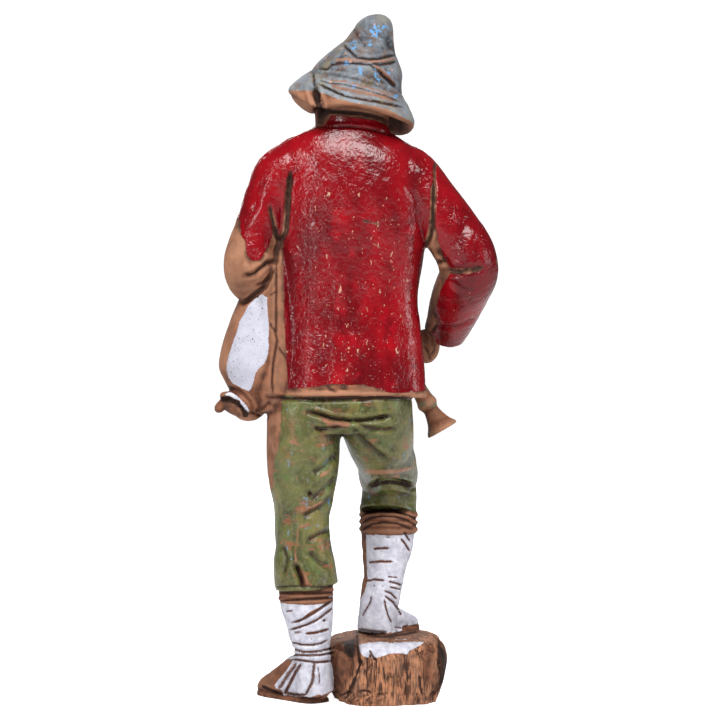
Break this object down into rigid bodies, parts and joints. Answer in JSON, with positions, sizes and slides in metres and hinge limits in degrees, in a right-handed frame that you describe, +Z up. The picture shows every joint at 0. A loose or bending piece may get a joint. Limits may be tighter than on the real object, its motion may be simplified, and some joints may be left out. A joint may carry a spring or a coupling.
{
  "type": "nativity shepherd figurine",
  "caption": "Hand-painted moulded nativity shepherd playing bagpipes, in a drooping hat and jacket, with one foot up on a stump",
  "frame": {"origin": "middle of the footprint of the whole figure, on the surface it stands on", "axes": "+Z up along the figure's height, -Y the way the figure looks, +X towards the figure's left hand"},
  "size_m": [0.0488, 0.0328, 0.1201],
  "materials": {
    "painted_plastic": "tan moulded plastic, painted by hand in red, olive green, white and grey-blue, with a dark brown wash"
  },
  "bodies": {
    "root": {"shepherd_figurine": "painted_plastic"}
  },
  "joints": []
}
